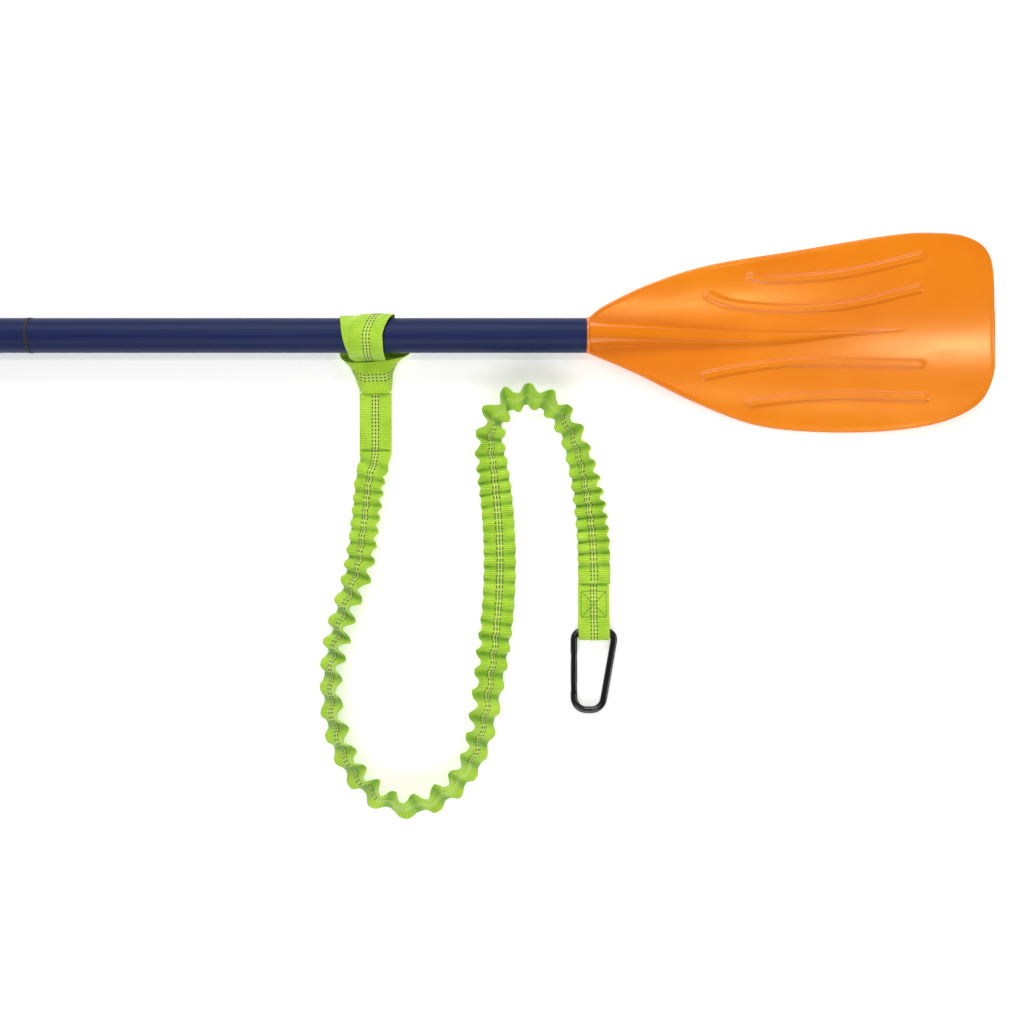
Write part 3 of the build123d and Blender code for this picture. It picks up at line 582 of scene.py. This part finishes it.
def web_piece(name, web, material):
    """The strip as a closed mesh, with a weave map in centimetres and a map of painted fold shade."""
    rows, columns = web["middle"].shape[:2]
    lift = web["normal"] * web["half"][..., None]
    ring = np.concatenate([web["middle"] + lift, (web["middle"] - lift)[:, ::-1]], axis=1)
    count = 2 * columns
    faces = grid_faces(rows, count, wrap=True)
    faces += [tuple(range(count))[::-1], tuple(range((rows - 1) * count, rows * count))]
    piece = add_mesh(name, ring.reshape(-1, 3), faces, material)
    weave = np.empty((rows, count, 2))
    weave[..., 0] = np.concatenate([web["across"], web["across"][::-1]])[None, :] / 10
    weave[..., 1] = web["along"][:, None] / 10
    fold = np.zeros((rows, count, 2))
    fold[..., 0] = np.concatenate([web["fold"], web["fold"][:, ::-1]], axis=1)
    corner = np.empty(len(piece.data.loops), int)
    piece.data.loops.foreach_get("vertex_index", corner)
    for layer_name, values in (("weave", weave), ("fold", fold)):
        layer = piece.data.uv_layers.new(name=layer_name)
        layer.data.foreach_set("uv", values.reshape(-1, 2)[corner].ravel())
    weld_mesh(piece.data)
    return piece


def on_web(web, along, across, lift):
    """Points on the strip's upper face at those places, raised by lift."""
    rows = np.interp(along, web["along"], np.arange(len(web["along"])))
    columns = np.interp(across, web["across"], np.arange(len(web["across"])))
    i = np.minimum(rows.astype(int), len(web["along"]) - 2)
    j = np.minimum(columns.astype(int), len(web["across"]) - 2)
    f, g = (rows - i)[..., None], (columns - j)[..., None]
    face = web["middle"] + web["normal"] * web["half"][..., None]

    def mix(values):
        low = values[i, j] * (1 - g) + values[i, j + 1] * g
        high = values[i + 1, j] * (1 - g) + values[i + 1, j + 1] * g
        return low * (1 - f) + high * f

    return mix(face) + mix(web["normal"]) * np.asarray(lift)[..., None]


def stitches(name, web, marks, material, length=1.75, width=1.2, tall=0.32):
    """Raised stitches on a strip. marks are (along, across, turn in degrees)."""
    # each is a block with a smaller top, sunk 0.15 mm into the cloth
    ring = [(-0.5, -0.5), (0.5, -0.5), (0.5, 0.5), (-0.5, 0.5)]
    local = [(a * length, b * width, -0.15) for a, b in ring]
    local += [(a * length * 0.72, b * width * 0.6, tall) for a, b in ring]
    points, faces = [], []
    for along, across, turn in marks:
        c, s = math.cos(math.radians(turn)), math.sin(math.radians(turn))
        base = len(points) * 8
        points.append([(along + a * c - b * s, across + a * s + b * c, h) for a, b, h in local])
        faces += [(base, base + 3, base + 2, base + 1), (base + 4, base + 5, base + 6, base + 7)]
        for k in range(4):
            n = (k + 1) % 4
            faces.append((base + k, base + n, base + 4 + n, base + 4 + k))
    spots = np.array(points).reshape(-1, 3)
    return add_mesh(name, on_web(web, spots[:, 0], spots[:, 1], spots[:, 2]), faces, material)


def tracer_marks(start, end):
    """Places of the dotted tracer's dashes, in three rows side by side."""
    count = int((end - start) / DASH_PITCH)
    places = [start + DASH_PITCH * (k + 0.5) for k in range(count)]
    return [(place, row, 12.0) for place in places for row in TRACER_ROWS]


def leash_curve(points):
    """The leash's middle as a NURBS curve."""
    data = bpy.data.curves.new("leash_middle", "CURVE")
    data.dimensions = "3D"
    data.resolution_u = 16
    spline = data.splines.new("NURBS")
    spline.points.add(len(points) - 1)
    for control, (x, y, z) in zip(spline.points, points):
        control.co = (x * MM, y * MM, z * MM, 1.0)
    spline.order_u = 3
    spline.use_endpoint_u = True
    return bpy.data.objects.new("leash_middle", data)


def ribbon_surface(line):
    """The gathered webbing round its route: rolled over, ruffled, resting on the board."""
    s = run_lengths(line)
    forward = np.gradient(line, axis=0)
    forward[:, 2] = 0
    forward /= np.linalg.norm(forward, axis=1, keepdims=True)
    side = np.column_stack([forward[:, 1], -forward[:, 0], np.zeros(len(line))])
    up = np.array([0.0, 0.0, 1.0])
    zones = smooth_line(GATHERS, 6)
    pitch, edge_wave, roll = (np.interp(s, zones[:, 0], zones[:, k]) for k in (1, 2, 3))
    edge_wave = np.maximum(edge_wave, 0) * (1 + 0.22 * np.sin(s / 31 + 2) + 0.15 * np.sin(s / 11))
    phase = np.cumsum(2 * math.pi * STATION / pitch) + 0.8 * np.sin(s / 37) + 0.5 * np.sin(s / 19 + 1)
    widths = np.linspace(-WEB_HALF, WEB_HALF, 23)
    share = widths / WEB_HALF
    angle = np.radians(roll)[:, None] * (1 - INNER_LEAN * share[None, :])
    step = widths[1] - widths[0]
    mean = (angle[:, 1:] + angle[:, :-1]) / 2
    zero = np.zeros((len(s), 1))
    sideways = np.hstack([zero, np.cumsum(np.cos(mean) * step, axis=1)])
    upward = np.hstack([zero, np.cumsum(-np.sin(mean) * step, axis=1)])
    centre = len(widths) // 2
    sideways -= sideways[:, centre:centre + 1]
    upward -= upward[:, centre:centre + 1]
    # ruffles: highest at the edges, and each edge a little out of step with the other
    swell = 0.45 + 0.55 * np.abs(share) ** 1.6
    lag = 0.15 + 0.45 * np.sin(s / 23) + 0.3 * np.sin(s / 41 + 1)
    turn = phase[:, None] + lag[:, None] * share[None, :]
    wave = edge_wave[:, None] * swell[None, :] * (np.sin(turn) + 0.06 * np.sin(3 * turn + 0.7))
    crimp = 0.35 * np.abs(share)[None, :] ** 2 * np.sin(turn * 2.6 + 2.0 * share[None, :])
    wave += crimp * np.minimum(edge_wave, 1)[:, None]
    slide = -0.06 * edge_wave[:, None] * swell[None, :] * np.sin(2 * turn)
    pinch = 0.16 * edge_wave[:, None] * share[None, :] * np.cos(turn)
    sideways += wave * np.sin(angle) + pinch
    upward += wave * np.cos(angle)
    # half thickness: thickest over the rubber cord, thin at the woven edges
    gathered = np.interp(s, GATHERED, (0, 1, 1, 0))[:, None]
    half = 1.5 + gathered * (-0.45 + 1.35 * np.exp(-(widths / 3.4) ** 2))[None, :]
    half = half * np.clip(1 - np.abs(share) ** 9, 0.22, 1)[None, :]
    # the lowest ruffles near each place rest on the board
    low = (upward - half).min(axis=1)
    window = 2 * REST_REACH + 1
    rest = np.array([low[max(0, i - REST_REACH):i + REST_REACH + 1].min() for i in range(len(low))])
    rest = np.convolve(np.pad(rest, REST_REACH, mode="edge"), np.ones(window) / window, "valid")
    flat = np.interp(s, LAID_DOWN, (1, 0, 0, 1))
    height = flat * line[:, 2] + (1 - flat) * (0.5 - rest)
    points = line[:, None, :] * [1, 1, 0] + side[:, None, :] * sideways[..., None]
    points = points + up * (height[:, None] + upward)[..., None]
    points = points + forward[:, None, :] * slide[..., None]
    points[..., 2] = np.maximum(points[..., 2], half + 0.3)
    web = web_surface(points, half, widths)
    # painted shade: darkest in the troughs of the ruffles, none where the webbing lies flat
    web["fold"] = (0.5 - 0.5 * np.sin(turn + 0.6)) ** 3 * np.clip(edge_wave / 3, 0, 1)[:, None]
    return web


lime = polyester_webbing_lime()
tracer_dark = spun_thread("tracer_thread_dark", "#2B2A14", "#4A4724")
curve = leash_curve(LEASH_ROUTE)
route_mesh = bpy.data.meshes.new_from_object(curve)
route = np.array([v.co for v in route_mesh.vertices]) / MM
bpy.data.objects.remove(curve)
leash_line = evenly(route, int(run_lengths(route)[-1] / STATION))
leash_web = ribbon_surface(leash_line)
ribbon = web_piece("gathered_webbing", leash_web, lime)
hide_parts("elastic_sleeve", "leash_tail", "bungee_core")
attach(ribbon, "leash")
cloth_length = leash_web["along"][-1]
leash_run = run_lengths(leash_line)
shown = []
for mark in tracer_marks(2, cloth_length - 3):
    place = np.interp(mark[0], leash_web["along"], leash_run)
    if not any(start < place < end for start, end in REVERSE_SHOWN):
        shown.append(mark)
tracers = stitches("webbing_tracer", leash_web, shown, tracer_dark)
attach(tracers, "leash")


# ------------------------------------------------------------ leash: hitch round the shaft
# The webbing's loop, choked round the shaft: two legs pass over it side by side and go round
# under it, and the bight is drawn over both legs as a flat collar.
LEG_R = 16.5
STRAP_T = 1.5
LEG_OVER_LIFT = 1.6       # the upper leg lies on the lower one in front of the shaft


def strap_surface(edge_a, edge_b, rows):
    """Flat webbing between two smooth edges."""
    a = evenly(smooth_line(edge_a, 12), rows)
    b = evenly(smooth_line(edge_b, 12), rows)
    f = (1 - np.cos(np.linspace(0, math.pi, 17))) / 2
    middle = a[:, None, :] * (1 - f)[None, :, None] + b[:, None, :] * f[None, :, None]
    half = STRAP_T / 2 * np.clip(1 - np.abs(2 * f - 1) ** 9, 0.25, 1)
    half = np.broadcast_to(half, middle.shape[:2])
    return web_surface(middle, half, (2 * f - 1) * WEB_HALF)


def leg_middle(radius, front_x, neck_x, top_x, far_x, under_x):
    """Middle of one leg from the collar's lower edge, over the shaft and round under it."""
    points = [(296.4, -47.0, 6.0), (296.0, -38.0, 6.0), (294.5, -30.0, 6.2),
              (neck_x, -24.0, 7.4), (neck_x, -20.9, 11.5), (front_x, -18.4, 18.5)]
    turns = [(160, front_x), (125, (front_x + top_x) / 2), (90, top_x), (50, (top_x + far_x) / 2),
             (10, far_x), (-30, far_x), (-70, (far_x + under_x) / 2), (-112, under_x)]
    for degrees, x in turns:
        a = math.radians(degrees)
        points.append((x, radius * math.cos(a), SHAFT_Z + radius * math.sin(a)))
    return points


# radius, then places along the shaft: front, neck, top, behind and under
LEGS = {
    "leg_under": (LEG_R, 288.5, 291.4, 284.5, 281.5, 281.0),
    "leg_over": (LEG_R + STRAP_T + 0.15, 291.5, 292.0, 291.8, 300.0, 301.0),
}
hitch_webs = {}
for name, sizes in LEGS.items():
    middle = leg_middle(*sizes)
    raised = LEG_OVER_LIFT if name == "leg_over" else 0.0
    middle = [(x, y, z + raised if y < -20 else z) for x, y, z in middle]
    left = [(x - WEB_HALF, y, z) for x, y, z in middle]
    right = [(x + WEB_HALF, y, z) for x, y, z in middle]
    hitch_webs[name] = strap_surface(left, right, 110)

COLLAR_UPPER = [
    (266, 4, 4), (264, -8, 4), (265, -15.5, 4.8), (268.5, -20, 9), (276, -22.4, 13.2),
    (291, -22.2, 15), (303.5, -21.2, 14.6), (316, -18.4, 11.4), (325, -15, 7.5), (327, -9, 4.6),
    (325, 4, 4),
]
COLLAR_LOWER = [
    (287, 4, 4), (287, -12, 4), (284, -28, 3.6), (280.5, -39, 4.6), (286, -48.7, 9.2),
    (297, -48.9, 10.4), (308, -48.7, 9.2), (310.5, -42, 4.8), (308, -30, 3.6), (303, -12, 4),
    (302, 4, 4),
]
hitch_webs["collar"] = strap_surface(COLLAR_UPPER, COLLAR_LOWER, 130)

stands_for = {"leg_under": ["shaft_loop"], "leg_over": [], "collar": ["loop_collar"]}
for name, web in hitch_webs.items():
    strap = web_piece(f"hitch_{name}", web, lime)
    if stands_for[name]:
        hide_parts(*stands_for[name])
    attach(strap, "leash")
    # the tracer is on the side away from the shaft, and the leg underneath shows none
    if name != "leg_under":
        marks = tracer_marks(3, web["along"][-1] - 3)
        dots = stitches(f"hitch_{name}_tracer", web, marks, tracer_dark)
        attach(dots, "leash")


# ------------------------------------------------------------ leash: end tab
# The webbing's end, folded through the snap hook's eye and sewn back on itself with a box
# and cross in darker green thread; a bar of zigzag closes the gathered part.
TAB_TOP_Y = -214.0
TAB_LONG = 50.0
TAB_LEFT_X = 473.6
TAB_RIGHT_X = 500.8
TAB_LEAN = 0.6            # to the right over the tab's length
# (y, z) from the ribbon's end down the upper layer, round the hook's bar and back up
TAB_FOLD = [
    (TAB_TOP_Y, 7.5), (-236, 7.5), (-247, 8.4), (-256, 10.7), (-262.4, 9.2), (-264.2, 6),
    (-262.4, 2.5), (-256, 1.1), (-246, 2.7), (-236, 5.8), (TAB_TOP_Y, 5.8),
]
BOX_SIDE = 22.5
BOX_LOW_Y = -244.5
BOX_STITCH = 2.4          # from stitch to stitch
BARTACK_STITCHES = 31

tab_edges = [
    [(edge_x + TAB_LEAN * (TAB_TOP_Y - y) / TAB_LONG, y, z) for y, z in TAB_FOLD]
    for edge_x in (TAB_LEFT_X, TAB_RIGHT_X)
]
tab_web = strap_surface(*tab_edges, 90)
# the face of the cloth is on the outside of the fold
tab_web["normal"] *= -1
tab = web_piece("tab_strap", tab_web, lime)
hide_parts("end_tab")
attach(tab, "leash")
tab_marks = tracer_marks(2, tab_web["along"][-1] - 2)
tab_dots = stitches("tab_tracer", tab_web, tab_marks, tracer_dark)
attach(tab_dots, "leash")


def seam(start, end):
    """Stitches along a straight seam between two (along, across) places."""
    along, across = end[0] - start[0], end[1] - start[1]
    turn = math.degrees(math.atan2(across, along))
    count = round(math.dist(start, end) / BOX_STITCH)
    shares = [(k + 0.5) / count for k in range(count)]
    return [(start[0] + along * t, start[1] + across * t, turn) for t in shares]


half_box = BOX_SIDE / 2
box_start = TAB_TOP_Y - BOX_LOW_Y - BOX_SIDE
corners = [(box_start, -half_box), (box_start + BOX_SIDE, -half_box),
           (box_start + BOX_SIDE, half_box), (box_start, half_box)]
box_marks = [m for a, b in zip(corners, corners[1:] + corners[:1]) for m in seam(a, b)]
box_marks += seam(corners[0], corners[2]) + seam(corners[1], corners[3])
sewing_green = spun_thread("sewing_thread_green", "#5C8C12", "#7DB01E")
box_thread = stitches(
    "box_and_cross", tab_web, box_marks, sewing_green, length=2.1, width=0.8, tall=0.4,
)
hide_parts("tab_box_stitch")
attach(box_thread, "leash")

zigzag = []
for k in range(BARTACK_STITCHES):
    zigzag.append((1.5 + 1.2 * (k % 2), -12.0 + 0.8 * k, 55.0 if k % 2 else -55.0))
tail_zigzag = [(TAIL_END + along, across, turn) for along, across, turn in zigzag]
bar_tab = stitches(
    "bartack_tab", tab_web, zigzag, sewing_green, length=2.0, width=0.8, tall=0.4,
)
bar_tail = stitches(
    "bartack_tail", leash_web, tail_zigzag, sewing_green, length=2.0, width=0.7, tall=0.4,
)
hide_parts("sleeve_bartacks")
for bar in (bar_tab, bar_tail):
    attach(bar, "leash")


# ------------------------------------------------------------ snap hook
# Forged aluminium carabiner with a wedge gate, anodised black and tumbled to a gloss, with
# steel pins and a sprung gate.
def anodised_black():
    """Black anodised aluminium: near black with a clear glassy skin and rubbed high spots."""
    material, tree, shader = new_material("anodised_black", {
        "IOR": 1.5, "Specular IOR Level": 0.3,
        "Coat Weight": 0.8, "Coat Roughness": 0.08, "Coat IOR": 1.5,
    })
    place = add_node(tree, "ShaderNodeTexCoord", {}).outputs["Object"]
    wear = add_node(tree, "ShaderNodeTexNoise", {"Vector": place, "Scale": 260.0, "Detail": 4.0})
    blacks = [(0.4, "#050506"), (0.7, "#0D0D0F")]
    colour = add_node(tree, "ShaderNodeValToRGB", {"Fac": wear}, blacks)
    tree.links.new(colour.outputs["Color"], shader.inputs["Base Color"])
    gloss = add_node(tree, "ShaderNodeMapRange", {"Value": wear, "To Min": 0.14, "To Max": 0.28})
    tree.links.new(gloss.outputs["Result"], shader.inputs["Roughness"])
    return material


finish_nodes(anodised_black(), "carabiner_body", "carabiner_gate")
finish_nodes(bare_metal("blackened_steel", "#1C1C1E", 0.25, 900.0, (1.0, 1.0, 1.0)),
             "gate_pin", "latch_pin")
finish_nodes(stainless, "gate_spring")
